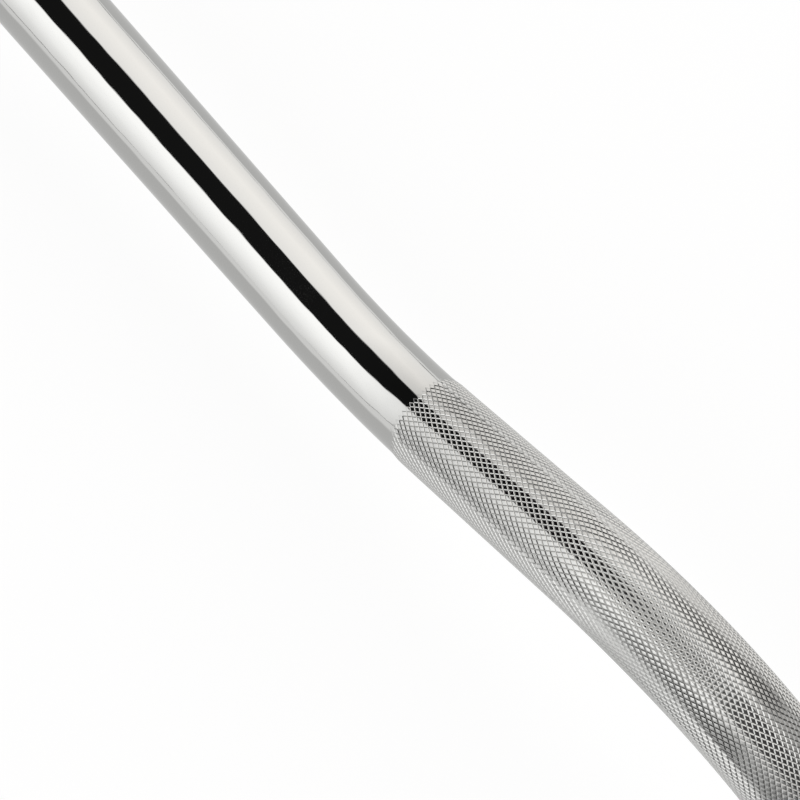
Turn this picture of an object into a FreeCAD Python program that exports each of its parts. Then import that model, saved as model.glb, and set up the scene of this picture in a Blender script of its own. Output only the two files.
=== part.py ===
import FreeCAD, Part
import math
import os
import re
import Sketcher

# EZ curl bar: one bent steel shaft with a plate sleeve that spins freely on each end.
# Frame: +X along the bar, the two grip humps up in +Z, the floor under the collars at zero,
# and the origin under the middle of the bar. Lengths are millimetres, angles are degrees.

doc = FreeCAD.newDocument("ez_curl_bar")
sheet = doc.addObject("Spreadsheet::Sheet", "sizes")

# Driving sizes, each set by itself.
DRIVING = [
    # bent shaft: the straights are the lengths between bends, the bend radius is the centreline's,
    # and the knurl reaches a little way into the bends at its two ends
    ("shaft_diameter", 25.0),
    ("bend_angle", 30.0),
    ("bend_radius", 100.0),
    ("centre_straight", 97.4),
    ("grip_straight", 45.5),
    ("end_straight", 69.4),
    ("knurl_raise", 0.3),
    ("knurl_in_bend", 10.0),
    ("shaft_end_land", 3.0),
    ("shaft_chamfer", 1.0),
    # plate sleeve: its bores step outwards from the shaft, so its outside follows from the ledges and walls
    ("sleeve_length", 200.0),
    ("sleeve_wall", 4.0),
    ("sleeve_chamfer", 2.0),
    ("sleeve_rim", 3.0),
    ("bore_gap", 1.5),
    ("thrust_ledge", 3.0),
    ("cap_ledge", 2.0),
    ("shaft_end_room", 8.0),
    # collar that stops the plates, with two spanner flats that also keep an unloaded bar from rolling
    ("collar_setback", 6.0),
    ("collar_thickness", 16.0),
    ("collar_height", 14.0),
    ("collar_flat_depth", 1.0),
    ("collar_rounding", 3.0),
    ("collar_seat_step", 0.8),
    ("collar_face_gap", 0.2),
    ("shoulder_chamfer", 0.4),
    # bushings and thrust washers
    ("bushing_wall", 3.45),
    ("bushing_length", 28.0),
    ("bushing_chamfer", 0.8),
    ("bushing_recess", 1.0),
    ("running_clearance", 0.05),
    ("washer_thickness", 2.0),
    ("washer_clearance", 0.3),
    ("end_play", 0.05),
    # retaining rings
    ("shaft_ring_thickness", 1.2),
    ("shaft_ring_width", 4.0),
    ("shaft_groove_depth", 0.55),
    ("thrust_ring_thickness", 1.5),
    ("thrust_ring_width", 3.6),
    ("thrust_groove_depth", 1.0),
    ("cap_ring_thickness", 1.75),
    ("cap_ring_width", 4.0),
    ("cap_groove_depth", 1.25),
    ("groove_clearance", 0.05),
    ("ring_taper", 0.5),
    ("ring_gap", 5.0),
    ("ring_lug_radius", 2.4),
    ("ring_lug_hole", 1.25),
    # end cap
    ("cap_thickness", 5.0),
    ("cap_clearance", 0.05),
    ("cap_chamfer", 0.6),
    ("cap_dish_depth", 0.8),
    ("cap_dish_rim", 6.0),
    # how far a cut runs past the face it starts from
    ("cut_overrun", 1.0),
]

# Sizes and places that follow from the driving ones. Along-the-sleeve places are measured outwards from
# the sleeve's inner end.
DERIVED = [
    ("shaft_radius", "shaft_diameter / 2"),
    ("knurl_radius", "shaft_radius + knurl_raise"),
    ("bushing_bore", "shaft_radius + running_clearance"),
    ("bushing_radius", "bushing_bore + bushing_wall"),
    ("sleeve_bore", "shaft_radius + bore_gap"),
    ("thrust_bore", "bushing_radius + thrust_ledge"),
    ("cap_bore", "thrust_bore + cap_ledge"),
    ("sleeve_radius", "cap_bore + sleeve_wall"),
    ("collar_bore", "sleeve_radius - collar_seat_step"),
    ("collar_lead_in", "collar_seat_step + collar_face_gap"),
    ("collar_radius", "sleeve_radius + collar_height"),
    ("collar_flat", "collar_radius - collar_flat_depth"),
    # along the bar
    ("half_centre", "centre_straight / 2"),
    ("bends_along", "4 * bend_radius * sin(bend_angle)"),
    ("grips_along", "2 * grip_straight * cos(bend_angle)"),
    ("outer_bend_end", "half_centre + bends_along + grips_along"),
    ("sleeve_start", "outer_bend_end + end_straight"),
    ("knurl_turn", "bend_angle - knurl_in_bend / bend_radius * 180 / pi"),
    ("knurl_start", "half_centre + bend_radius * sin(knurl_turn)"),
    ("knurl_start_rise", "bend_radius * (1 - cos(knurl_turn))"),
    ("knurl_end", "outer_bend_end - bend_radius * sin(knurl_turn)"),
    # along the sleeve: the collar's outer face, then the pockets from the outer end inwards
    ("collar_face", "collar_setback + collar_thickness"),
    ("cap_groove_end", "sleeve_length - sleeve_rim"),
    ("cap_ring_at", "cap_groove_end - groove_clearance - cap_ring_thickness"),
    ("cap_groove_start", "cap_ring_at - groove_clearance"),
    ("cap_seat", "cap_groove_start - cap_thickness"),
    ("thrust_groove_end", "cap_seat - shaft_end_room"),
    ("thrust_ring_at", "thrust_groove_end - groove_clearance - thrust_ring_thickness"),
    ("thrust_groove_start", "thrust_ring_at - groove_clearance"),
    ("outer_washer_at", "thrust_groove_start - washer_thickness"),
    ("shaft_ring_at", "outer_washer_at - end_play - shaft_ring_thickness"),
    ("inner_washer_at", "shaft_ring_at - end_play - washer_thickness"),
    ("outer_bushing_at", "inner_washer_at - bushing_length"),
    ("shaft_groove_start", "sleeve_start + shaft_ring_at - groove_clearance"),
    ("shaft_groove_end", "shaft_groove_start + shaft_ring_thickness + 2 * groove_clearance"),
    ("shaft_end", "shaft_groove_end + shaft_end_land"),
]


def fill_sheet():
    rows = [(name, str(value)) for name, value in DRIVING]
    rows += [(name, "=" + formula) for name, formula in DERIVED]
    for row, (name, text) in enumerate(rows, start=1):
        sheet.set("A%d" % row, name)
        sheet.set("B%d" % row, text)
        sheet.setAlias("B%d" % row, name)
    doc.recompute()


def size(formula):
    """An expression over the sheet's names, with each name pointed at the sheet."""
    names = [name for name, _ in DRIVING + DERIVED]
    return re.sub("[a-z_]+", lambda word: "sizes." + word[0] if word[0] in names else word[0], formula)


def value_of(formula):
    """The number that an expression over the sheet's names stands for now."""
    return float(sheet.evalExpression(size(formula)))


def new_body(label):
    body = doc.addObject("PartDesign::Body", label)
    body.Label = label
    return body


def origin_plane(body, role):
    return [feature for feature in body.Origin.OriginFeatures if feature.Role == role][0]


def sketch_on(body, name, role):
    sketch = body.newObject("Sketcher::SketchObject", name)
    sketch.AttachmentSupport = [(origin_plane(body, role), "")]
    sketch.MapMode = "FlatFace"
    return sketch


def bind(sketch, constraint, formula):
    """Adds a dimension to a sketch and ties it to the sheet."""
    index = sketch.addConstraint(constraint)
    sketch.setExpression("Constraints[%d]" % index, size(formula))


def place_point(sketch, geometry, point, across, up):
    """Ties a sketch point to its two distances from the sketch's origin, or to an axis where one is zero."""
    if across == "0":
        sketch.addConstraint(Sketcher.Constraint("PointOnObject", geometry, point, -2))
    else:
        bind(sketch, Sketcher.Constraint("DistanceX", -1, 1, geometry, point, value_of(across)), across)
    if up == "0":
        sketch.addConstraint(Sketcher.Constraint("PointOnObject", geometry, point, -1))
    else:
        bind(sketch, Sketcher.Constraint("DistanceY", -1, 1, geometry, point, value_of(up)), up)


def add_outline(sketch, corners):
    """A closed outline of straight sides through corners given as pairs of formulas."""
    points = [FreeCAD.Vector(value_of(across), value_of(up), 0) for across, up in corners]
    first = sketch.GeometryCount
    last = first + len(points) - 1
    for index, point in enumerate(points):
        sketch.addGeometry(Part.LineSegment(point, points[(index + 1) % len(points)]), False)
    for index in range(first, last):
        sketch.addConstraint(Sketcher.Constraint("Coincident", index, 2, index + 1, 1))
    sketch.addConstraint(Sketcher.Constraint("Coincident", last, 2, first, 1))
    for index, (across, up) in enumerate(corners, start=first):
        place_point(sketch, index, 1, across, up)


def add_circle(sketch, across, up, radius):
    """A circle whose centre and radius are formulas."""
    centre = FreeCAD.Vector(value_of(across), value_of(up), 0)
    circle = Part.Circle(centre, FreeCAD.Vector(0, 0, 1), value_of(radius))
    index = sketch.addGeometry(circle, False)
    place_point(sketch, index, 3, across, up)
    bind(sketch, Sketcher.Constraint("Radius", index, value_of(radius)), radius)


def revolve(body, name, corners, kind="PartDesign::Revolution"):
    """Turns an outline of (along the bar, out from its axis) corners once round the bar's axis."""
    sketch = sketch_on(body, name + "_outline", "XZ_Plane")
    add_outline(sketch, corners)
    feature = body.newObject(kind, name)
    feature.Profile = sketch
    feature.ReferenceAxis = (sketch, ["H_Axis"])
    feature.Angle = 360
    return feature


def pad(body, name, sketch, thickness):
    feature = body.newObject("PartDesign::Pad", name)
    feature.Profile = sketch
    feature.setExpression("Length", size(thickness))
    return feature


def seat(body, side, along):
    """Puts an end piece on the bar's axis, with its own +X pointing away from the bar's middle."""
    turn = 0 if side > 0 else 180
    body.Placement = FreeCAD.Placement(FreeCAD.Vector(), FreeCAD.Rotation(FreeCAD.Vector(0, 0, 1), turn))
    place = size("sleeve_start + " + along)
    body.setExpression("Placement.Base.x", place if side > 0 else "-( %s )" % place)
    body.setExpression("Placement.Base.z", size("collar_flat"))


def walk_centreline(sketch):
    """Draws the centreline from the bar's middle to its end: straights joined by tangent bends.

    Each knurled stretch starts and stops inside a bend, so those bends are two arcs that meet there.
    """
    level = "0"
    steps = [
        ("straight", "half_centre", level),
        ("bend", level, "knurl_turn"),
        ("bend", "knurl_turn", "bend_angle"),
        ("straight", "grip_straight", "bend_angle"),
        ("bend", "bend_angle", "-bend_angle"),
        ("straight", "grip_straight", "-bend_angle"),
        ("bend", "-bend_angle", "-knurl_turn"),
        ("bend", "-knurl_turn", level),
        ("straight", "shaft_end - outer_bend_end", level),
    ]
    radius = value_of("bend_radius")
    point = FreeCAD.Vector()
    ends = []
    for kind, first, second in steps:
        if kind == "straight":
            heading = math.radians(value_of(second))
            far = point + FreeCAD.Vector(math.cos(heading), math.sin(heading), 0) * value_of(first)
            index = sketch.addGeometry(Part.LineSegment(point, far), False)
            bind(sketch, Sketcher.Constraint("Distance", index, value_of(first)), first)
            if second == level:
                sketch.addConstraint(Sketcher.Constraint("Horizontal", index))
            else:
                bind(sketch, Sketcher.Constraint("Angle", index, heading), second)
            ends.append((index, 1, 2))
        else:
            start = math.radians(value_of(first))
            stop = math.radians(value_of(second))
            left = 1 if stop > start else -1
            centre = point + FreeCAD.Vector(-math.sin(start), math.cos(start), 0) * radius * left
            far = centre + FreeCAD.Vector(math.sin(stop), -math.cos(stop), 0) * radius * left
            angles = sorted([start - left * math.pi / 2, stop - left * math.pi / 2])
            circle = Part.Circle(centre, FreeCAD.Vector(0, 0, 1), radius)
            index = sketch.addGeometry(Part.ArcOfCircle(circle, angles[0], angles[1]), False)
            bind(sketch, Sketcher.Constraint("Radius", index, radius), "bend_radius")
            ends.append((index, 1, 2) if left > 0 else (index, 2, 1))
        point = far
    sketch.addConstraint(Sketcher.Constraint("Coincident", 0, 1, -1, 1))
    for (index, _, leave), (following, enter, _) in zip(ends, ends[1:]):
        sketch.addConstraint(Sketcher.Constraint("Tangent", index, leave, following, enter))
    for index, place in ((1, "knurl_start"), (6, "knurl_end")):
        bind(sketch, Sketcher.Constraint("DistanceX", -1, 1, index, 2, value_of(place)), place)


def sweep(body, name, path, edges, profile):
    feature = body.newObject("PartDesign::AdditivePipe", name)
    feature.Profile = profile
    feature.Spine = (path, ["Edge%d" % edge for edge in edges])
    return feature


def make_shaft():
    """The one-piece bent shaft, drawn as its right half and mirrored."""
    body = new_body("shaft")
    path = sketch_on(body, "shaft_centreline", "XZ_Plane")
    walk_centreline(path)
    section = sketch_on(body, "shaft_section", "YZ_Plane")
    add_circle(section, "0", "0", "shaft_radius")
    doc.recompute()
    sweep(body, "shaft_bar", path, range(1, 10), section)
    doc.recompute()

    knurl_section = sketch_on(body, "knurl_section", "YZ_Plane")
    tilt = FreeCAD.Rotation(FreeCAD.Vector(-1, 0, 0), value_of("knurl_turn"))
    knurl_section.AttachmentOffset = FreeCAD.Placement(FreeCAD.Vector(), tilt)
    knurl_section.setExpression("AttachmentOffset.Rotation.Angle", size("knurl_turn"))
    knurl_section.setExpression("AttachmentOffset.Base.y", size("knurl_start_rise"))
    knurl_section.setExpression("AttachmentOffset.Base.z", size("knurl_start"))
    add_circle(knurl_section, "0", "0", "knurl_radius")
    doc.recompute()
    sweep(body, "knurl_band", path, range(3, 8), knurl_section)
    doc.recompute()

    clear = "shaft_radius + cut_overrun"
    groove_floor = "shaft_radius - shaft_groove_depth"
    revolve(body, "ring_groove", [
        ("shaft_groove_start", groove_floor),
        ("shaft_groove_end", groove_floor),
        ("shaft_groove_end", clear),
        ("shaft_groove_start", clear),
    ], "PartDesign::Groove")
    revolve(body, "end_chamfer", [
        ("shaft_end - shaft_chamfer", "shaft_radius"),
        ("shaft_end", "shaft_radius - shaft_chamfer"),
        ("shaft_end + cut_overrun", "shaft_radius - shaft_chamfer"),
        ("shaft_end + cut_overrun", clear),
        ("shaft_end - shaft_chamfer", clear),
    ], "PartDesign::Groove")
    doc.recompute()

    whole = body.newObject("PartDesign::Mirrored", "both_halves")
    whole.TransformMode = "Whole shape"
    whole.MirrorPlane = (origin_plane(body, "YZ_Plane"), [""])
    body.Tip = whole
    body.setExpression("Placement.Base.z", size("collar_flat"))
    return body


def make_sleeve(label, side):
    """The plate sleeve: a tube with bushing seats at both ends and stepped pockets at its outer end.

    The collar is pressed on from the inner end, until it is level with the small shoulder where the full
    diameter starts.
    """
    body = new_body(label)
    seat_end = "bushing_recess + bushing_length"
    revolve(body, "turned_sleeve", [
        ("0", "bushing_radius"),
        (seat_end, "bushing_radius"),
        (seat_end, "sleeve_bore"),
        ("outer_bushing_at", "sleeve_bore"),
        ("outer_bushing_at", "bushing_radius"),
        ("inner_washer_at", "bushing_radius"),
        ("inner_washer_at", "thrust_bore"),
        ("thrust_groove_start", "thrust_bore"),
        ("thrust_groove_start", "thrust_bore + thrust_groove_depth"),
        ("thrust_groove_end", "thrust_bore + thrust_groove_depth"),
        ("thrust_groove_end", "thrust_bore"),
        ("cap_seat", "thrust_bore"),
        ("cap_seat", "cap_bore"),
        ("cap_groove_start", "cap_bore"),
        ("cap_groove_start", "cap_bore + cap_groove_depth"),
        ("cap_groove_end", "cap_bore + cap_groove_depth"),
        ("cap_groove_end", "cap_bore"),
        ("sleeve_length", "cap_bore"),
        ("sleeve_length", "sleeve_radius - sleeve_chamfer"),
        ("sleeve_length - sleeve_chamfer", "sleeve_radius"),
        ("collar_face + shoulder_chamfer", "sleeve_radius"),
        ("collar_face", "sleeve_radius - shoulder_chamfer"),
        ("collar_face", "collar_bore"),
        ("sleeve_chamfer", "collar_bore"),
        ("0", "collar_bore - sleeve_chamfer"),
    ])
    seat(body, side, "0")
    return body


def cut_through(body, name, sketch):
    """Cuts a sketch right through a piece, both ways along the bar."""
    doc.recompute()
    cut = body.newObject("PartDesign::Pocket", name)
    cut.Profile = sketch
    cut.Type = "ThroughAll"
    cut.Midplane = True


def add_flat(sketch, direction):
    """What a spanner flat takes off the collar, above (1) or below (-1) the bar's axis."""
    reach = value_of("collar_radius + cut_overrun")
    level = value_of("collar_flat")
    corners = [(-reach, level), (reach, level), (reach, reach), (-reach, reach)]
    points = [FreeCAD.Vector(across, up * direction, 0) for across, up in corners]
    first = sketch.GeometryCount
    for index, point in enumerate(points):
        sketch.addGeometry(Part.LineSegment(point, points[(index + 1) % len(points)]), False)
    flat, right, clear, left = range(first, first + len(points))
    for index, following in ((flat, right), (right, clear), (clear, left), (left, flat)):
        sketch.addConstraint(Sketcher.Constraint("Coincident", index, 2, following, 1))
    sketch.addConstraint(Sketcher.Constraint("Symmetric", flat, 1, flat, 2, -2))
    sketch.addConstraint(Sketcher.Constraint("Symmetric", clear, 2, clear, 1, -2))
    sketch.addConstraint(Sketcher.Constraint("Vertical", right))
    bind(sketch, Sketcher.Constraint("DistanceX", flat, 1, flat, 2, 2 * reach),
         "2 * (collar_radius + cut_overrun)")
    bind(sketch, Sketcher.Constraint("Distance", -1, 1, flat, level), "collar_flat")
    bind(sketch, Sketcher.Constraint("Distance", -1, 1, clear, reach), "collar_radius + cut_overrun")


def make_collar(label, side):
    """The flange ring that stops the plates, with rounded rims and a pair of flats.

    Its bore has a lead-in on the outer side, so the flat face that the plates meet clears the sleeve.
    """
    body = new_body(label)
    ring = revolve(body, "collar_ring", [
        ("0", "collar_bore"),
        ("collar_thickness - collar_lead_in", "collar_bore"),
        ("collar_thickness", "collar_bore + collar_lead_in"),
        ("collar_thickness", "collar_radius"),
        ("0", "collar_radius"),
    ])
    doc.recompute()
    rim = value_of("collar_radius")
    rims = []
    for index, edge in enumerate(ring.Shape.Edges, start=1):
        if isinstance(edge.Curve, Part.Circle) and abs(edge.Curve.Radius - rim) < Part.Precision.confusion():
            rims.append("Edge%d" % index)
    rounding = body.newObject("PartDesign::Fillet", "rounded_rims")
    rounding.Base = (ring, rims)
    rounding.setExpression("Radius", size("collar_rounding"))
    flats = sketch_on(body, "flats_outline", "YZ_Plane")
    for direction in (1, -1):
        add_flat(flats, direction)
    cut_through(body, "spanner_flats", flats)
    seat(body, side, "collar_setback")
    return body


def make_bushing(label, side, along):
    """A bronze bushing, pressed into the sleeve, that runs on the shaft."""
    body = new_body(label)
    revolve(body, "bushing_tube", [
        ("0", "bushing_bore + bushing_chamfer"),
        ("bushing_chamfer", "bushing_bore"),
        ("bushing_length - bushing_chamfer", "bushing_bore"),
        ("bushing_length", "bushing_bore + bushing_chamfer"),
        ("bushing_length", "bushing_radius - bushing_chamfer"),
        ("bushing_length - bushing_chamfer", "bushing_radius"),
        ("bushing_chamfer", "bushing_radius"),
        ("0", "bushing_radius - bushing_chamfer"),
    ])
    seat(body, side, along)
    return body


def make_washer(label, side, along):
    """A steel thrust washer that takes the sleeve's end load."""
    body = new_body(label)
    revolve(body, "washer_disc", [
        ("0", "shaft_radius + washer_clearance"),
        ("washer_thickness", "shaft_radius + washer_clearance"),
        ("washer_thickness", "thrust_bore - washer_clearance"),
        ("0", "thrust_bore - washer_clearance"),
    ])
    seat(body, side, along)
    return body


def make_cap(label, side):
    """The end cap: a shallow dished disc that closes the sleeve."""
    body = new_body(label)
    rim = "cap_bore - cap_clearance"
    dish_floor = "cap_thickness - cap_dish_depth"
    revolve(body, "cap_disc", [
        ("0", "0"),
        (dish_floor, "0"),
        (dish_floor, rim + " - cap_dish_rim - cap_dish_depth"),
        ("cap_thickness", rim + " - cap_dish_rim"),
        ("cap_thickness", rim + " - cap_chamfer"),
        ("cap_thickness - cap_chamfer", rim),
        ("0", rim),
    ])
    seat(body, side, "cap_seat")
    return body


def add_on_upright(sketch, radius, offset, direction):
    """A circle centred on the sketch's upright axis, above (1) or below (-1) the origin."""
    centre = FreeCAD.Vector(0, value_of(offset) * direction, 0)
    circle = Part.Circle(centre, FreeCAD.Vector(0, 0, 1), value_of(radius))
    index = sketch.addGeometry(circle, False)
    sketch.addConstraint(Sketcher.Constraint("PointOnObject", index, 3, -2))
    bind(sketch, Sketcher.Constraint("Distance", -1, 1, index, 3, value_of(offset)), offset)
    bind(sketch, Sketcher.Constraint("Radius", index, value_of(radius)), radius)


def add_lug_pair(sketch, reach, radius):
    """Two circles, one each side of the ring's gap, at a given reach from the bar's axis."""
    across = value_of("ring_gap / 2 + ring_lug_radius")
    up = math.sqrt(value_of(reach) ** 2 - across ** 2)
    pair = []
    for sign in (1, -1):
        circle = Part.Circle(FreeCAD.Vector(sign * across, up, 0), FreeCAD.Vector(0, 0, 1), value_of(radius))
        pair.append(sketch.addGeometry(circle, False))
        bind(sketch, Sketcher.Constraint("Radius", pair[-1], value_of(radius)), radius)
    right, left = pair
    bind(sketch, Sketcher.Constraint("DistanceX", -1, 1, right, 3, across), "ring_gap / 2 + ring_lug_radius")
    bind(sketch, Sketcher.Constraint("Distance", -1, 1, right, 3, value_of(reach)), reach)
    sketch.addConstraint(Sketcher.Constraint("Symmetric", right, 3, left, 3, -2))


def add_gap(sketch, top):
    """The ring's gap: a slot on the upright axis from the bar's axis out past the ring."""
    half = value_of("ring_gap / 2")
    height = value_of(top)
    corners = [(-half, 0), (half, 0), (half, height), (-half, height)]
    points = [FreeCAD.Vector(across, up, 0) for across, up in corners]
    first = sketch.GeometryCount
    for index, point in enumerate(points):
        sketch.addGeometry(Part.LineSegment(point, points[(index + 1) % len(points)]), False)
    floor, right, roof, left = range(first, first + len(points))
    for index, following in ((floor, right), (right, roof), (roof, left), (left, floor)):
        sketch.addConstraint(Sketcher.Constraint("Coincident", index, 2, following, 1))
    sketch.addConstraint(Sketcher.Constraint("PointOnObject", floor, 1, -1))
    sketch.addConstraint(Sketcher.Constraint("Symmetric", floor, 1, floor, 2, -2))
    sketch.addConstraint(Sketcher.Constraint("Symmetric", roof, 2, roof, 1, -2))
    sketch.addConstraint(Sketcher.Constraint("Vertical", right))
    bind(sketch, Sketcher.Constraint("DistanceX", floor, 1, floor, 2, 2 * half), "ring_gap")
    bind(sketch, Sketcher.Constraint("DistanceY", right, 1, right, 2, height), top)


def make_ring(label, side, along, thickness, width, held):
    """A sprung retaining ring with two eyed lugs at its gap, wider away from the gap.

    held is the radius it grips and its groove's depth; a ring on the shaft has its lugs outside.
    """
    radius, depth, on_shaft = held
    body = new_body(label)
    sketch = sketch_on(body, "ring_band", "YZ_Plane")
    if on_shaft:
        inner = radius + " - " + depth
        outer = inner + " + " + width + " - ring_taper"
        add_circle(sketch, "0", "0", inner)
        add_on_upright(sketch, outer, "ring_taper", -1)
        reach = inner + " + ring_lug_radius"
    else:
        outer = radius + " + " + depth
        add_circle(sketch, "0", "0", outer)
        add_on_upright(sketch, outer + " + ring_taper - " + width, "ring_taper", 1)
        reach = radius + " - ring_lug_radius"
    pad(body, "band", sketch, thickness)
    lugs = sketch_on(body, "lug_discs", "YZ_Plane")
    add_lug_pair(lugs, reach, "ring_lug_radius")
    pad(body, "lugs", lugs, thickness)
    cuts = sketch_on(body, "gap_and_eyes", "YZ_Plane")
    add_gap(cuts, outer + " + cut_overrun")
    add_lug_pair(cuts, reach, "ring_lug_hole")
    cut_through(body, "gap", cuts)
    seat(body, side, along)
    return body


def make_end(name, side):
    """All the pieces of one end of the bar."""
    shaft_hold = ("shaft_radius", "shaft_groove_depth", True)
    thrust_hold = ("thrust_bore", "thrust_groove_depth", False)
    cap_hold = ("cap_bore", "cap_groove_depth", False)
    return [
        make_sleeve(name + "_sleeve", side),
        make_collar(name + "_collar", side),
        make_bushing(name + "_inner_bushing", side, "bushing_recess"),
        make_bushing(name + "_outer_bushing", side, "outer_bushing_at"),
        make_washer(name + "_inner_thrust_washer", side, "inner_washer_at"),
        make_ring(name + "_shaft_ring", side, "shaft_ring_at", "shaft_ring_thickness", "shaft_ring_width",
                  shaft_hold),
        make_washer(name + "_outer_thrust_washer", side, "outer_washer_at"),
        make_ring(name + "_thrust_ring", side, "thrust_ring_at", "thrust_ring_thickness", "thrust_ring_width",
                  thrust_hold),
        make_cap(name + "_end_cap", side),
        make_ring(name + "_cap_ring", side, "cap_ring_at", "cap_ring_thickness", "cap_ring_width", cap_hold),
    ]


def check(pieces):
    """Stops if any object failed or any piece isn't one sound solid."""
    for item in doc.Objects:
        if "Invalid" in item.State or "Error" in item.State:
            raise RuntimeError("failed object: " + item.Label)
    for piece in pieces:
        shape = piece.Shape
        if shape.isNull() or not shape.isValid() or len(shape.Solids) != 1:
            raise RuntimeError("unsound piece: " + piece.Label)


def main():
    fill_sheet()
    pieces = [make_shaft()]
    pieces += make_end("left", -1)
    pieces += make_end("right", 1)
    doc.recompute()
    check(pieces)
    os.makedirs("parts", exist_ok=True)
    for piece in pieces:
        piece.Shape.exportStep("parts/%s.step" % piece.Label)


main()
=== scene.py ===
import math

import bpy
import numpy as np
from mathutils import Matrix, Vector


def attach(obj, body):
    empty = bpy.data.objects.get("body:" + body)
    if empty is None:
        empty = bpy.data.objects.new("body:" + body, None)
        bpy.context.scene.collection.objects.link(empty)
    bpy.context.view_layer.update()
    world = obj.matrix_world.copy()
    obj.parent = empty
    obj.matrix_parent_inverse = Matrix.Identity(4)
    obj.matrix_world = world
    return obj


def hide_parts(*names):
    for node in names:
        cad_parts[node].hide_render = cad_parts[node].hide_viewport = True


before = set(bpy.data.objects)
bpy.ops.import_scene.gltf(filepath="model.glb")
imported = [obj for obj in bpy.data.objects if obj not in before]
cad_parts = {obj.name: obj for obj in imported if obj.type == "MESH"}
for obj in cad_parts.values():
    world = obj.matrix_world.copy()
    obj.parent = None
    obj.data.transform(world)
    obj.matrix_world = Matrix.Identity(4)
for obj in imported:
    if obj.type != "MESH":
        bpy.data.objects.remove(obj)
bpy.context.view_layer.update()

# Dresses the EZ curl bar. The bent shaft with its rolled knurl is remade in fine meshes. The turned sleeves,
# collars, caps and the small parts inside them keep their solids and get their finishes.
MM = 0.001

# The bar's own sizes, in millimetres and degrees. Distances along the bar run along its centreline from
# the bar's middle.
AXIS_HEIGHT = 38.0
SHAFT_RADIUS = 12.5
BEND_ANGLE = 30.0
BEND_RADIUS = 100.0
HALF_CENTRE = 48.7
GRIP_STRAIGHT = 45.5
KNURL_IN_BEND = 10.0
SHAFT_END_X = 578.458
RING_GROOVE_LAND = 3.0
RING_GROOVE_WIDTH = 1.3
RING_GROOVE_DEPTH = 0.55
SHAFT_CHAMFER = 1.0

BEND_ARC = BEND_RADIUS * math.radians(BEND_ANGLE)
# Each run of the right half: its length along the bar and the angle that it turns through.
BAR_RUNS = [
    (HALF_CENTRE, 0.0),
    (BEND_ARC, BEND_ANGLE),
    (GRIP_STRAIGHT, 0.0),
    (2 * BEND_ARC, -2 * BEND_ANGLE),
    (GRIP_STRAIGHT, 0.0),
    (BEND_ARC, BEND_ANGLE),
]
KNURL_START = HALF_CENTRE + BEND_ARC - KNURL_IN_BEND
HUMP_CREST = HALF_CENTRE + BEND_ARC + GRIP_STRAIGHT + BEND_ARC
KNURL_END = 2 * HUMP_CREST - KNURL_START
OUTER_BEND_END = 2 * HUMP_CREST - HALF_CENTRE

# The rolled knurl: two crossing sets of grooves that leave flat-topped diamonds. The wheel's teeth fit the
# bar a whole number of times. A groove's share is the part of a diamond's half width that it takes.
KNURL_STARTS = 55
KNURL_ROWS = 94
KNURL_CREST = 12.8
GRIP_GROOVE_DEPTH = 0.165
HUMP_GROOVE_DEPTH = 0.18
GRIP_GROOVE_SHARE = 0.32
HUMP_GROOVE_SHARE = 0.39
WALL_ROUND_SHARE = 0.08
# The bar was knurled straight and then bent. Each bend drew the pattern out along the bar, and over the hump
# the diamonds also drew in sideways. The hump's pull fades out and the outer bends' pull fades in between
# these distances from the hump's crest.
HUMP_STRETCH_SHARE = 0.15
BEND_STRETCH_SHARE = 0.10
HUMP_SQUEEZE_SHARE = 0.14
HUMP_PULL_FADES = (38.0, 60.0)
BEND_PULL_GROWS = (77.0, 106.0)
# Wear on the hump's flanks, from 0 to 1, at distances from its crest. It rounds the diamonds' tops, whose
# edges then lean by more degrees, and dulls the tops and the grooves.
FLANK_WEAR = ((4.0, 0.0), (20.0, 1.0), (32.0, 1.0), (50.0, 0.0))
TOP_CROWN = 2.5
WORN_CROWN = 17.0
WORN_TOP_DULLNESS = 0.4
GROOVE_DULLNESS = 0.5
WORN_GROOVE_DULLNESS = 0.7
# The grooves grow from nothing at the knurl's ends, over a short length, and a little later on the bar's
# flanks than on its top.
RUN_IN = 2.0
FLANK_LAG = 2.6

# The meshes' fineness: points round the bar, rings along it in millimetres, and the plain strip that joins the
# knurl to the smooth shaft.
AROUND_STEPS = 2 * KNURL_STARTS
HALF_START = math.pi / KNURL_STARTS
RING_AROUND = np.arange(AROUND_STEPS) * HALF_START
RING_SPACING = 1.5
END_SPACING = 20.0
FILL_STRIP = 1.0
STRETCH_SAMPLES = 2000
SHARP_ANGLE = 30.0


def walk_bar(along):
    """Centreline points and headings at distances along the bar, in millimetres and radians."""
    along = np.asarray(along, float)
    side = np.where(along < 0, -1.0, 1.0)
    left = np.abs(along)
    x = np.zeros_like(left)
    z = np.full_like(left, AXIS_HEIGHT)
    heading = np.zeros_like(left)
    for length, turn in BAR_RUNS + [(np.inf, 0.0)]:
        step = np.clip(left, 0.0, length)
        if turn:
            angle = math.radians(turn) / length * step
            radius = length / math.radians(turn)
            x += radius * (np.sin(heading + angle) - np.sin(heading))
            z += radius * (np.cos(heading) - np.cos(heading + angle))
            heading = heading + angle
        else:
            x += np.cos(heading) * step
            z += np.sin(heading) * step
        left = left - step
    return side * x, z, side * heading


def on_bar(along, around, radius):
    """Points on the bar at a radius and an angle around it (0 on top, positive towards +Y), in metres."""
    x, z, heading = walk_bar(along)
    up = radius * np.cos(around)
    points = [x - np.sin(heading) * up, radius * np.sin(around), z + np.cos(heading) * up]
    return np.stack(points, axis=-1) * MM


def out_of_bar(along, around, lean):
    """Unit directions out of the bar, leant along it by some radians."""
    _, _, heading = walk_bar(along)
    up = np.cos(around) * np.cos(lean)
    ahead = np.sin(lean)
    return np.stack([
        np.cos(heading) * ahead - np.sin(heading) * up,
        np.sin(around) * np.cos(lean),
        np.sin(heading) * ahead + np.cos(heading) * up,
    ], axis=-1)


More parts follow.
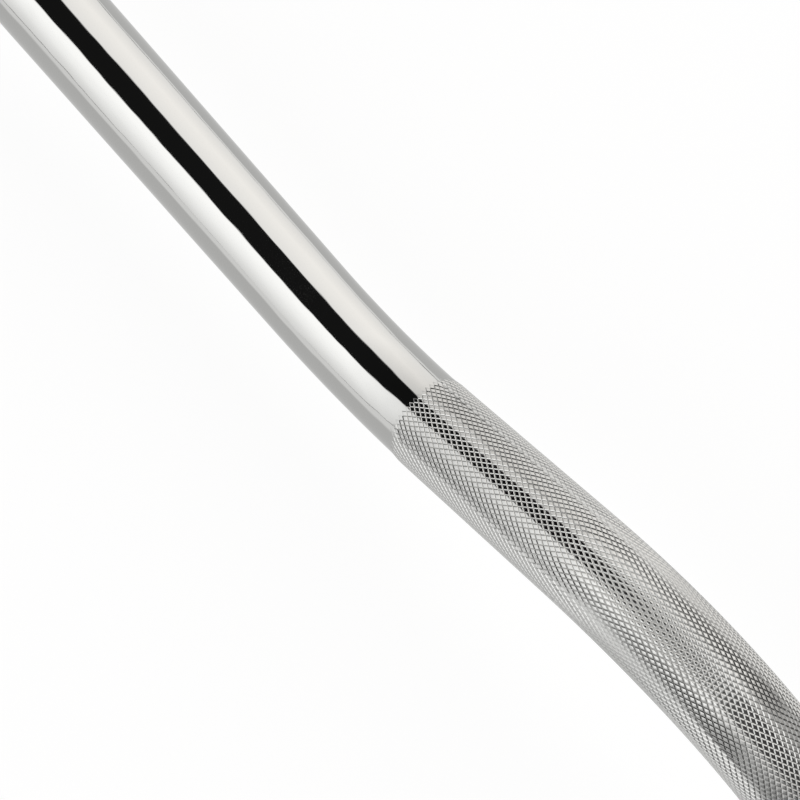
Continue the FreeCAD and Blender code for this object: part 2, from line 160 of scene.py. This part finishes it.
def shaft_piece(name, points, faces, along, around, dullness=None):
    """A mesh piece of the shaft.

    Its points keep where they were on the straight bar, in metres, for patterns that follow the bar. Where
    dullness is given, they also keep how far they are from a full polish, from 0 to 1.
    """
    mesh = bpy.data.meshes.new(name)
    mesh.from_pydata(points.tolist(), [], faces)
    straight = [along, SHAFT_RADIUS * np.sin(around), SHAFT_RADIUS * np.cos(around)]
    run = mesh.attributes.new("straight_bar", "FLOAT_VECTOR", "POINT")
    run.data.foreach_set("vector", (np.stack(straight, axis=-1) * MM).astype(np.float32).ravel())
    if dullness is not None:
        dull = mesh.attributes.new("dullness", "FLOAT", "POINT")
        dull.data.foreach_set("value", dullness.astype(np.float32))
    mesh.shade_smooth()
    piece = bpy.data.objects.new(name, mesh)
    bpy.context.scene.collection.objects.link(piece)
    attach(piece, "shaft")
    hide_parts("shaft")
    return piece


def smooth_length(name, stations):
    """A plain stretch of the shaft through (distance along, radius) stations, closed where it is chamfered."""
    along = np.repeat([place for place, _ in stations], AROUND_STEPS)
    radius = np.repeat([size for _, size in stations], AROUND_STEPS)
    around = np.tile(RING_AROUND, len(stations))
    faces = []
    for ring in range(len(stations) - 1):
        near, far = ring * AROUND_STEPS, (ring + 1) * AROUND_STEPS
        for step in range(AROUND_STEPS):
            following = (step + 1) % AROUND_STEPS
            faces.append((near + step, far + step, far + following, near + following))
    if stations[0][1] < SHAFT_RADIUS:
        faces.append(tuple(range(AROUND_STEPS)))
    if stations[-1][1] < SHAFT_RADIUS:
        last = (len(stations) - 1) * AROUND_STEPS
        faces.append(tuple(last + step for step in reversed(range(AROUND_STEPS))))
    piece = shaft_piece(name, on_bar(along, around, radius), faces, along, around)
    piece.data.set_sharp_from_angle(angle=math.radians(SHARP_ANGLE))
    return piece


def spread(start, stop, spacing):
    """Even places from start to stop, no further apart than the spacing."""
    count = math.ceil((stop - start) / spacing)
    return list(np.linspace(start, stop, count + 1))


def shaft_centre():
    """The smooth middle of the shaft, between the two knurled grips."""
    reach = KNURL_START - FILL_STRIP
    stations = [(place, SHAFT_RADIUS) for place in spread(-reach, reach, RING_SPACING)]
    return smooth_length("shaft_centre", stations)


def shaft_end(name, side):
    """The smooth end of the shaft: out of the last bend, through the sleeve, to its ring groove and chamfer."""
    tip = OUTER_BEND_END + SHAFT_END_X - float(walk_bar(OUTER_BEND_END)[0])
    groove_end = tip - RING_GROOVE_LAND
    groove_start = groove_end - RING_GROOVE_WIDTH
    floor = SHAFT_RADIUS - RING_GROOVE_DEPTH
    places = spread(KNURL_END + FILL_STRIP, OUTER_BEND_END, RING_SPACING)[:-1]
    places += spread(OUTER_BEND_END, groove_start, END_SPACING)
    stations = [(place, SHAFT_RADIUS) for place in places]
    stations += [(groove_start, floor), (groove_end, floor), (groove_end, SHAFT_RADIUS)]
    stations += [(tip - SHAFT_CHAMFER, SHAFT_RADIUS), (tip, SHAFT_RADIUS - SHAFT_CHAMFER)]
    if side < 0:
        stations = [(-place, radius) for place, radius in reversed(stations)]
    return smooth_length(name, stations)


def fade(value, limits):
    """Rises smoothly from 0 to 1 between two limits."""
    share = np.clip((value - limits[0]) / (limits[1] - limits[0]), 0.0, 1.0)
    return share * share * (3 - 2 * share)


def between(plain, changed, share):
    return plain + (changed - plain) * share


def hump_pull(along):
    """How much the hump's bend drew the pattern out, from 0 to 1."""
    return 1 - fade(np.abs(along - HUMP_CREST), HUMP_PULL_FADES)


def flank_wear(along):
    return np.interp(np.abs(along - HUMP_CREST), *zip(*FLANK_WEAR))


def groove_growth(along, around):
    """How fully the knurl is formed, from 0 to 1."""
    from_end = KNURL_END - HUMP_CREST - np.abs(along - HUMP_CREST)
    return np.clip((from_end - FLANK_LAG * (1 - np.cos(around))) / RUN_IN, 0.0, 1.0)


def knurl_rows():
    """Where each half row of diamonds lies along the bar, further apart where a bend drew the bar out."""
    fine = np.linspace(KNURL_START, KNURL_END, STRETCH_SAMPLES)
    pull = HUMP_STRETCH_SHARE * hump_pull(fine)
    pull += BEND_STRETCH_SHARE * fade(np.abs(fine - HUMP_CREST), BEND_PULL_GROWS)
    density = 1 / (1 + pull)
    count = np.concatenate([[0.0], np.cumsum((density[1:] + density[:-1]) / 2)])
    half_rows = 2 * KNURL_ROWS
    return np.interp(np.arange(half_rows + 1), count / count[-1] * half_rows, fine)


def grip_knurl(name, side):
    """One knurled grip: diamonds between two crossing sets of V grooves.

    Nodes are where the grooves cross, on every other point of a grid of half rows and half starts, and the
    points between them are the diamonds' middles. The outermost nodes lie on the smooth shaft, so the
    grooves run out in points there.
    """
    row_places = knurl_rows()
    last = len(row_places) - 1

    def along_at(row):
        return np.interp(row, np.arange(last + 1), row_places)

    def around_at(row, step):
        turn = step * HALF_START
        return turn - HUMP_SQUEEZE_SHARE * hump_pull(along_at(row)) * np.sin(turn)

    def node_at(row, step):
        return row * KNURL_STARTS + (step % AROUND_STEPS) // 2

    node_row = np.repeat(np.arange(last + 1), KNURL_STARTS)
    node_step = np.tile(np.arange(KNURL_STARTS) * 2, last + 1) + node_row % 2
    node_along = along_at(node_row)
    at_edge = (node_row <= 1) | (node_row >= last - 1)
    nodes = len(node_row)

    cell_row = np.repeat(np.arange(1, last), KNURL_STARTS)
    cell_step = np.tile(np.arange(KNURL_STARTS) * 2, last - 1) + (cell_row + 1) % 2
    cell_along = along_at(cell_row)
    cells = len(cell_row)
    top_share = 1 - between(GRIP_GROOVE_SHARE, HUMP_GROOVE_SHARE, hump_pull(cell_along)[:, None])
    wear = flank_wear(cell_along)[:, None]
    crown = np.radians(between(TOP_CROWN, WORN_CROWN, wear))
    ahead = np.array([-1, 0, 1, 0])
    across = np.array([0, -1, 0, 1])
    top_row = cell_row[:, None] + top_share * ahead
    top_step = cell_step[:, None] + top_share * across
    cell_nodes = np.stack(
        [node_at(cell_row + a, cell_step + c) for a, c in zip(ahead, across)], axis=1)
    top_index = nodes + np.arange(cells * 4).reshape(cells, 4)
    ring_places = np.repeat([KNURL_START - FILL_STRIP, KNURL_END + FILL_STRIP], AROUND_STEPS)
    ring_index = nodes + cells * 4 + np.arange(len(ring_places)).reshape(2, AROUND_STEPS)

    along = np.concatenate([node_along, along_at(top_row).ravel(), ring_places])
    around = np.concatenate([
        around_at(node_row, node_step),
        around_at(top_row, top_step).ravel(),
        np.tile(RING_AROUND, 2),
    ])
    node_depth = between(GRIP_GROOVE_DEPTH, HUMP_GROOVE_DEPTH, hump_pull(node_along))
    full_radius = np.concatenate([
        np.where(at_edge, SHAFT_RADIUS, KNURL_CREST - node_depth),
        np.full(cells * 4, KNURL_CREST),
        np.full(len(ring_places), SHAFT_RADIUS),
    ])
    growth = groove_growth(along, around)
    radius = SHAFT_RADIUS + growth * (full_radius - SHAFT_RADIUS)
    node_dullness = between(GROOVE_DULLNESS, WORN_GROOVE_DULLNESS, flank_wear(node_along))
    dullness = growth * np.concatenate([
        np.where(at_edge, 0.0, node_dullness),
        np.repeat(WORN_TOP_DULLNESS * wear, 4),
        np.zeros(len(ring_places)),
    ])
    along = side * along
    points = on_bar(along, around, radius)

    quads = [top_index]
    for corner in range(4):
        following = (corner + 1) % 4
        quads.append(np.stack([
            cell_nodes[:, corner],
            cell_nodes[:, following],
            top_index[:, following],
            top_index[:, corner],
        ], axis=1))
    steps = np.arange(AROUND_STEPS)
    for ring, tip_row, dip_row in zip(ring_index, (0, last), (1, last - 1)):
        zigzag = np.where(steps % 2 == 0, node_at(tip_row, steps), node_at(dip_row, steps))
        quads.append(np.stack([ring, np.roll(ring, -1), np.roll(zigzag, -1), zigzag], axis=1))
    faces = np.concatenate(quads)

    # A diamond's top is a little crowned, and its walls are rounded into its top and into the groove.
    upright = out_of_bar(along, around, np.zeros(len(along)))
    first, second, third, fourth = (points[faces[:, corner]] for corner in range(4))
    flat = np.cross(third - first, fourth - second)
    flat /= np.linalg.norm(flat, axis=1)[:, None]
    inwards = np.sum(flat * upright[faces[:, 0]], axis=1) < 0
    faces[inwards] = faces[inwards][:, ::-1]
    flat[inwards] *= -1
    at_points = upright.copy()
    tops = slice(nodes, nodes + cells * 4)
    middle_along = np.repeat(side * cell_along, 4)
    middle_around = np.repeat(around_at(cell_row, cell_step), 4)
    crown_lean = (side * crown * ahead).ravel()
    at_points[tops] = out_of_bar(middle_along, middle_around + (crown * across).ravel(), crown_lean)
    normals = at_points[faces]
    walls = slice(cells, cells * 5)
    normals[walls] = between(flat[walls, None, :], normals[walls], WALL_ROUND_SHARE)
    normals /= np.linalg.norm(normals, axis=2)[:, :, None]

    piece = shaft_piece(name, points, faces.tolist(), along, around, dullness)
    piece.data.normals_split_custom_set(normals.reshape(-1, 3).tolist())
    return piece


smooth_pieces = [shaft_centre(), shaft_end("shaft_left_end", -1), shaft_end("shaft_right_end", 1)]
knurled_pieces = [grip_knurl("knurl_left_grip", -1), grip_knurl("knurl_right_grip", 1)]


def linear(hex_code):
    """A colour written as sRGB hex, as the linear values that shaders take."""
    parts = [int(hex_code[index:index + 2], 16) / 255 for index in (1, 3, 5)]
    return tuple(c / 12.92 if c <= 0.04045 else ((c + 0.055) / 1.055) ** 2.4 for c in parts) + (1.0,)


def add_node(tree, kind, inputs=None, stops=None, **settings):
    """Adds a node with its settings; an input takes a value, or a socket that is linked to it."""
    made = tree.nodes.new(kind)
    for name, value in settings.items():
        setattr(made, name, value)
    for name, value in (inputs or {}).items():
        if isinstance(value, bpy.types.NodeSocket):
            tree.links.new(value, made.inputs[name])
        else:
            made.inputs[name].default_value = value
    if stops:
        ramp = made.color_ramp.elements
        ramp[0].position, ramp[0].color = stops[0]
        ramp[-1].position, ramp[-1].color = stops[-1]
        for position, colour in stops[1:-1]:
            ramp.new(position).color = colour
    return made


def new_material(name):
    material = bpy.data.materials.new(name)
    material.use_nodes = True
    material.node_tree.nodes.clear()
    return material, material.node_tree


def per_metre(along, across):
    """How often a pattern repeats in a metre along the bar and across it, from its sizes in millimetres."""
    return (1 / (along * MM), 1 / (across * MM), 1 / (across * MM))


# The belt's marks on the shaft, in millimetres: their sizes along and across the bar, and their heights.
CHROME = "#BEBEBC"
BELT_WAVE = (16.0, 7.0)
BELT_WAVE_HEIGHT = 0.13
BELT_LINE = (60.0, 0.5)
BELT_LINE_HEIGHT = 0.003


def hard_chrome(name, roughness, dull_roughness=None):
    """Bright hard chrome plate on a bar that was belt polished along its length.

    It mirrors the room in an almost neutral grey. The belt leaves soft waves, which make the edges of the
    reflections wander, and fine lines along the bar. The real lines are finer than a pixel, so they are
    drawn about half a millimetre apart. In the knurl's grooves, and where the hump is worn, the plate is
    duller, up to dull_roughness.
    """
    material, tree = new_material(name)
    run = add_node(tree, "ShaderNodeAttribute", attribute_name="straight_bar")
    waves_at = add_node(tree, "ShaderNodeVectorMath", {
        0: run.outputs["Vector"], 1: per_metre(*BELT_WAVE)}, operation="MULTIPLY")
    waves = add_node(tree, "ShaderNodeTexNoise", {
        "Vector": waves_at.outputs["Vector"], "Scale": 1.0, "Detail": 2.0, "Roughness": 0.45})
    lines_at = add_node(tree, "ShaderNodeVectorMath", {
        0: run.outputs["Vector"], 1: per_metre(*BELT_LINE)}, operation="MULTIPLY")
    lines = add_node(tree, "ShaderNodeTexNoise", {
        "Vector": lines_at.outputs["Vector"], "Scale": 1.0, "Detail": 3.0, "Roughness": 0.6})
    waved = add_node(tree, "ShaderNodeBump", {
        "Height": waves.outputs["Fac"], "Strength": 1.0, "Distance": BELT_WAVE_HEIGHT * MM})
    lined = add_node(tree, "ShaderNodeBump", {
        "Height": lines.outputs["Fac"], "Strength": 1.0, "Distance": BELT_LINE_HEIGHT * MM,
        "Normal": waved.outputs["Normal"]})
    if dull_roughness is not None:
        dullness = add_node(tree, "ShaderNodeAttribute", attribute_name="dullness")
        graded = add_node(tree, "ShaderNodeMapRange", {
            "Value": dullness.outputs["Fac"], "From Min": 0.0, "From Max": 1.0,
            "To Min": roughness, "To Max": dull_roughness})
        roughness = graded.outputs["Result"]
    shader = add_node(tree, "ShaderNodeBsdfPrincipled", {
        "Base Color": linear(CHROME),
        "Metallic": 1.0,
        "Roughness": roughness,
        "Normal": lined.outputs["Normal"],
    })
    add_node(tree, "ShaderNodeOutputMaterial", {"Surface": shader.outputs["BSDF"]})
    return material


# Noise values mostly lie in this span. The soft patches' size is in millimetres.
NOISE_SPAN = (0.3, 0.7)
PATCH_SIZE = 9.0
ROUGHNESS_SPREAD = 0.2


def turned_metal(name, colour, roughness, line_spacing, line_depth, mottle):
    """A metal that was turned on a lathe: fine rings round the bar's axis, and circles on its end faces.

    They draw a highlight out into a soft streak across the rings. mottle is how much the colour varies in
    soft patches, as plating and oil do.
    """
    material, tree = new_material(name)
    place = add_node(tree, "ShaderNodeTexCoord")
    centred = add_node(tree, "ShaderNodeVectorMath", {
        0: place.outputs["Object"], 1: (0.0, 0.0, -AXIS_HEIGHT * MM)}, operation="ADD")
    axes = add_node(tree, "ShaderNodeSeparateXYZ", {"Vector": centred.outputs["Vector"]})
    section = add_node(tree, "ShaderNodeCombineXYZ", {"Y": axes.outputs["Y"], "Z": axes.outputs["Z"]})
    radius = add_node(tree, "ShaderNodeVectorMath", {0: section.outputs["Vector"]}, operation="LENGTH")
    cut = add_node(tree, "ShaderNodeCombineXYZ", {"X": axes.outputs["X"], "Y": radius.outputs["Value"]})
    tool_lines = add_node(tree, "ShaderNodeTexNoise", {
        "Vector": cut.outputs["Vector"], "Scale": 1 / (line_spacing * MM), "Detail": 2.0, "Roughness": 0.6})
    patches = add_node(tree, "ShaderNodeTexNoise", {
        "Vector": centred.outputs["Vector"], "Scale": 1 / (PATCH_SIZE * MM), "Detail": 3.0})
    clean = linear(colour)
    dark = tuple(c * (1 - mottle) for c in clean[:3]) + (1.0,)
    shade = add_node(tree, "ShaderNodeValToRGB", {"Fac": patches.outputs["Fac"]},
                     list(zip(NOISE_SPAN, (dark, clean))))
    gloss = add_node(tree, "ShaderNodeMapRange", {
        "Value": tool_lines.outputs["Fac"], "From Min": NOISE_SPAN[0], "From Max": NOISE_SPAN[1],
        "To Min": (1 - ROUGHNESS_SPREAD) * roughness, "To Max": (1 + ROUGHNESS_SPREAD) * roughness})
    lined = add_node(tree, "ShaderNodeBump", {
        "Height": tool_lines.outputs["Fac"], "Strength": 1.0, "Distance": line_depth * MM})
    shader = add_node(tree, "ShaderNodeBsdfPrincipled", {
        "Base Color": shade.outputs["Color"],
        "Metallic": 1.0,
        "Roughness": gloss.outputs["Result"],
        "Normal": lined.outputs["Normal"],
    })
    add_node(tree, "ShaderNodeOutputMaterial", {"Surface": shader.outputs["BSDF"]})
    return material


smooth_chrome = hard_chrome("hard chrome plate, belt polished", roughness=0.05)
knurl_chrome = hard_chrome("hard chrome plate over rolled knurl", roughness=0.06, dull_roughness=0.50)
for piece in smooth_pieces:
    piece.data.materials.append(smooth_chrome)
for piece in knurled_pieces:
    piece.data.materials.append(knurl_chrome)

# The finish of each kind of end piece: colour, roughness, the spacing and depth of its tool lines in
# millimetres, and its mottle. Lines closer than about half a millimetre are drawn that far apart, so that
# they show.
END_FINISHES = {
    "sleeve": ("chrome plate over turned steel", "#BFC0C1", 0.16, 0.5, 0.002, 0.05),
    "collar": ("chrome plate over polished turned steel", "#C2C3C4", 0.10, 0.5, 0.001, 0.04),
    "bushing": ("oil-filled sintered bronze, sized in a press", "#A87B4C", 0.42, 0.6, 0.006, 0.30),
    "thrust_washer": ("hardened steel, ground", "#A9AAAB", 0.28, 0.4, 0.002, 0.10),
    "ring": ("spring steel, phosphated and oiled", "#2E2F31", 0.45, 0.4, 0.004, 0.35),
    "end_cap": ("zinc plate over faced steel", "#B4B6B8", 0.24, 0.7, 0.003, 0.08),
}
end_materials = {kind: turned_metal(*finish) for kind, finish in END_FINISHES.items()}
for node_name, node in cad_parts.items():
    for kind, material in end_materials.items():
        if node_name.endswith("_" + kind):
            node.data.materials.clear()
            node.data.materials.append(material)

# The studio's light by the angle round the bar from straight up, negative towards -Y: degrees, and its level in
# red and in blue. Two long soft lights, the one towards +Y a little warm, leave a dark gap overhead.
LIGHT_ROUND_BAR = [
    (-180, 0.60, 0.60), (-100, 0.80, 0.80), (-92, 1.18, 1.18), (-77, 1.40, 1.40),
    (-61, 1.66, 1.66), (-44, 1.84, 1.84), (-33, 1.86, 1.86), (-31, 0.012, 0.012),
    (14.5, 0.012, 0.012), (16.5, 1.46, 1.42), (39, 1.58, 1.51), (55, 1.64, 1.56),
    (71, 1.51, 1.45), (87, 1.37, 1.34), (93, 0.70, 0.70), (180, 0.60, 0.60),
]
BRIGHTEST = 2.0
# By the direction's X: the lights dim towards both ends of the bar, most past its +X end, and a weaker light fills
# the gap away from the bar's middle.
LIGHT_ALONG_BAR = [
    (-1.0, 0.62), (-0.7, 0.67), (-0.5, 0.84), (-0.3, 1.0), (0.25, 1.0), (0.4, 0.58),
    (0.55, 0.37), (0.7, 0.26), (0.85, 0.17), (0.95, 0.10), (1.0, 0.08),
]
GAP_FILL = [
    (-1.0, 0.45), (-0.88, 0.45), (-0.79, 0.0), (0.01, 0.0), (0.06, 1.0), (0.21, 1.0),
    (0.31, 0.14), (0.5, 0.08), (1.0, 0.06),
]


def grey_stops(levels, brightest=1.0):
    """A ramp's stops from levels at places between -1 and 1."""
    return [((place + 1) / 2, (level / brightest,) * 3 + (1.0,)) for place, level in levels]


def studio():
    """Two long soft lights beside the bar, with a dark gap between them overhead."""
    world = bpy.data.worlds.new("studio")
    bpy.context.scene.world = world
    world.use_nodes = True
    tree = world.node_tree
    tree.nodes.clear()
    where = add_node(tree, "ShaderNodeTexCoord")
    axes = add_node(tree, "ShaderNodeSeparateXYZ", {"Vector": where.outputs["Generated"]})
    angle = add_node(tree, "ShaderNodeMath", {
        0: axes.outputs["Y"], 1: axes.outputs["Z"]}, operation="ARCTAN2")
    round_bar = add_node(tree, "ShaderNodeMapRange", {
        "Value": angle.outputs["Value"], "From Min": -math.pi, "From Max": math.pi})
    round_stops = [
        ((degrees + 180) / 360, (red / BRIGHTEST, (red + blue) / 2 / BRIGHTEST, blue / BRIGHTEST, 1.0))
        for degrees, red, blue in LIGHT_ROUND_BAR]
    bands = add_node(tree, "ShaderNodeValToRGB", {"Fac": round_bar.outputs["Result"]}, round_stops)
    along_bar = add_node(tree, "ShaderNodeMapRange", {
        "Value": axes.outputs["X"], "From Min": -1.0, "From Max": 1.0})
    ends = add_node(tree, "ShaderNodeValToRGB", {"Fac": along_bar.outputs["Result"]},
                    grey_stops(LIGHT_ALONG_BAR))
    lit = add_node(tree, "ShaderNodeVectorMath", {
        0: bands.outputs["Color"], 1: ends.outputs["Color"]}, operation="MULTIPLY")
    fill = add_node(tree, "ShaderNodeValToRGB", {"Fac": along_bar.outputs["Result"]},
                    grey_stops(GAP_FILL, BRIGHTEST))
    filled = add_node(tree, "ShaderNodeVectorMath", {
        0: lit.outputs["Vector"], 1: fill.outputs["Color"]}, operation="MAXIMUM")
    lights = add_node(tree, "ShaderNodeBackground", {"Color": filled.outputs["Vector"], "Strength": BRIGHTEST})
    plain = add_node(tree, "ShaderNodeBackground", {"Color": (1.0, 1.0, 1.0, 1.0), "Strength": 1.0})
    rays = add_node(tree, "ShaderNodeLightPath")
    seen = add_node(tree, "ShaderNodeMixShader", {
        "Fac": rays.outputs["Is Camera Ray"], 1: lights.outputs["Background"], 2: plain.outputs["Background"]})
    add_node(tree, "ShaderNodeOutputWorld", {"Surface": seen.outputs["Shader"]})


# The floor, in metres, and how reflections show it, as painted shade and light in its glow: its level across the
# bar, darker under the bar as painted shade, and how that changes between two distances along the bar, as painted
# light that dims. The camera sees it white.
FLOOR_HALF = 20.0
FLOOR_PAINTED_SHADE_AND_LIGHT_ACROSS_BAR = [(-0.24, 0.92), (-0.17, 0.60), (0.45, 0.60), (0.60, 1.0)]
FLOOR_PAINTED_LIGHT_FADES_FROM, FLOOR_PAINTED_LIGHT_FADES_TO = 0.42, 0.85
FLOOR_PAINTED_NEAR_LEVEL, FLOOR_PAINTED_FAR_LEVEL = 1.3, 0.2
FLOOR_WHITE = 1.05
FLOOR_GLOW_SHARE = 0.85


def pale_floor():
    """A wide sheet of white paper. Reflections show its glow with painted shade, greyer under the bar, and painted
    light, brighter out where the lights would reach it.
    """
    corners = [(-1, -1), (1, -1), (1, 1), (-1, 1)]
    mesh = bpy.data.meshes.new("floor")
    mesh.from_pydata([(x * FLOOR_HALF, y * FLOOR_HALF, 0.0) for x, y in corners], [], [(0, 1, 2, 3)])
    floor = bpy.data.objects.new("floor", mesh)
    bpy.context.scene.collection.objects.link(floor)
    material, tree = new_material("white paper sweep")
    rays = add_node(tree, "ShaderNodeLightPath")
    place = add_node(tree, "ShaderNodeNewGeometry")
    axes = add_node(tree, "ShaderNodeSeparateXYZ", {"Vector": place.outputs["Position"]})
    across_bar = add_node(tree, "ShaderNodeMapRange", {
        "Value": axes.outputs["Y"], "From Min": -1.0, "From Max": 1.0})
    # Painted shade and light: reflections see the floor's glow greyer in a band under the bar and brighter to
    # either side of it.
    painted_pool = add_node(tree, "ShaderNodeValToRGB", {"Fac": across_bar.outputs["Result"]},
                    grey_stops(FLOOR_PAINTED_SHADE_AND_LIGHT_ACROSS_BAR))
    along_bar = add_node(tree, "ShaderNodeMath", {0: axes.outputs["X"]}, operation="ABSOLUTE")
    # Painted light: reflections see the floor's glow brighter along the bar's middle, dimming from about its ends
    # outwards.
    painted_light_along = add_node(tree, "ShaderNodeMapRange", {
        "Value": along_bar.outputs["Value"], "From Min": FLOOR_PAINTED_LIGHT_FADES_FROM, "From Max": FLOOR_PAINTED_LIGHT_FADES_TO,
        "To Min": FLOOR_PAINTED_NEAR_LEVEL, "To Max": FLOOR_PAINTED_FAR_LEVEL})
    # The painted shade across the bar times the painted light along it: the floor's glow as reflections see it.
    painted_level = add_node(tree, "ShaderNodeMath", {
        0: painted_pool.outputs["Color"], 1: painted_light_along.outputs["Result"]}, operation="MULTIPLY")
    direct = add_node(tree, "ShaderNodeMath", {
        0: rays.outputs["Is Camera Ray"], 1: FLOOR_WHITE}, operation="MULTIPLY")
    level = add_node(tree, "ShaderNodeMath", {
        0: painted_level.outputs["Value"], 1: direct.outputs["Value"]}, operation="MAXIMUM")
    paper = add_node(tree, "ShaderNodeBsdfDiffuse", {"Color": linear("#F2F2F2")})
    glow = add_node(tree, "ShaderNodeEmission", {
        "Color": (1.0, 1.0, 1.0, 1.0), "Strength": level.outputs["Value"]})
    seen = add_node(tree, "ShaderNodeMath", {
        0: rays.outputs["Is Camera Ray"], 1: rays.outputs["Is Glossy Ray"]}, operation="MAXIMUM")
    either = add_node(tree, "ShaderNodeMath", {
        0: seen.outputs["Value"], 1: rays.outputs["Is Transmission Ray"]}, operation="MAXIMUM")
    mostly = add_node(tree, "ShaderNodeMath", {
        0: either.outputs["Value"], 1: FLOOR_GLOW_SHARE}, operation="MULTIPLY")
    surface = add_node(tree, "ShaderNodeMixShader", {
        "Fac": mostly.outputs["Value"], 1: paper.outputs["BSDF"], 2: glow.outputs["Emission"]})
    add_node(tree, "ShaderNodeOutputMaterial", {"Surface": surface.outputs["Shader"]})
    mesh.materials.append(material)


# The photograph's view, in millimetres and degrees: the camera's place, the point that it looks at, and how far it
# is turned about its line of sight.
CAMERA_PLACE = (51.45, -68.98, 335.36)
CAMERA_AIM = (85.05, 0.43, AXIS_HEIGHT)
CAMERA_TURN = 73.707
CAMERA_LENS = 51.6
CAMERA_SENSOR = 36.0
NEAREST_SEEN = 0.01


def place_camera():
    data = bpy.data.cameras.new("camera")
    data.sensor_width = CAMERA_SENSOR
    data.lens = CAMERA_LENS
    data.clip_start = NEAREST_SEEN
    camera = bpy.data.objects.new("camera", data)
    place = Vector(CAMERA_PLACE) * MM
    aim = Vector(CAMERA_AIM) * MM
    look = (aim - place).to_track_quat("-Z", "Y").to_matrix().to_4x4()
    turn = Matrix.Rotation(math.radians(CAMERA_TURN), 4, "Z")
    camera.matrix_world = Matrix.Translation(place) @ look @ turn
    bpy.context.scene.collection.objects.link(camera)
    bpy.context.scene.camera = camera


studio()
pale_floor()
place_camera()
bpy.context.scene.view_settings.view_transform = "Standard"
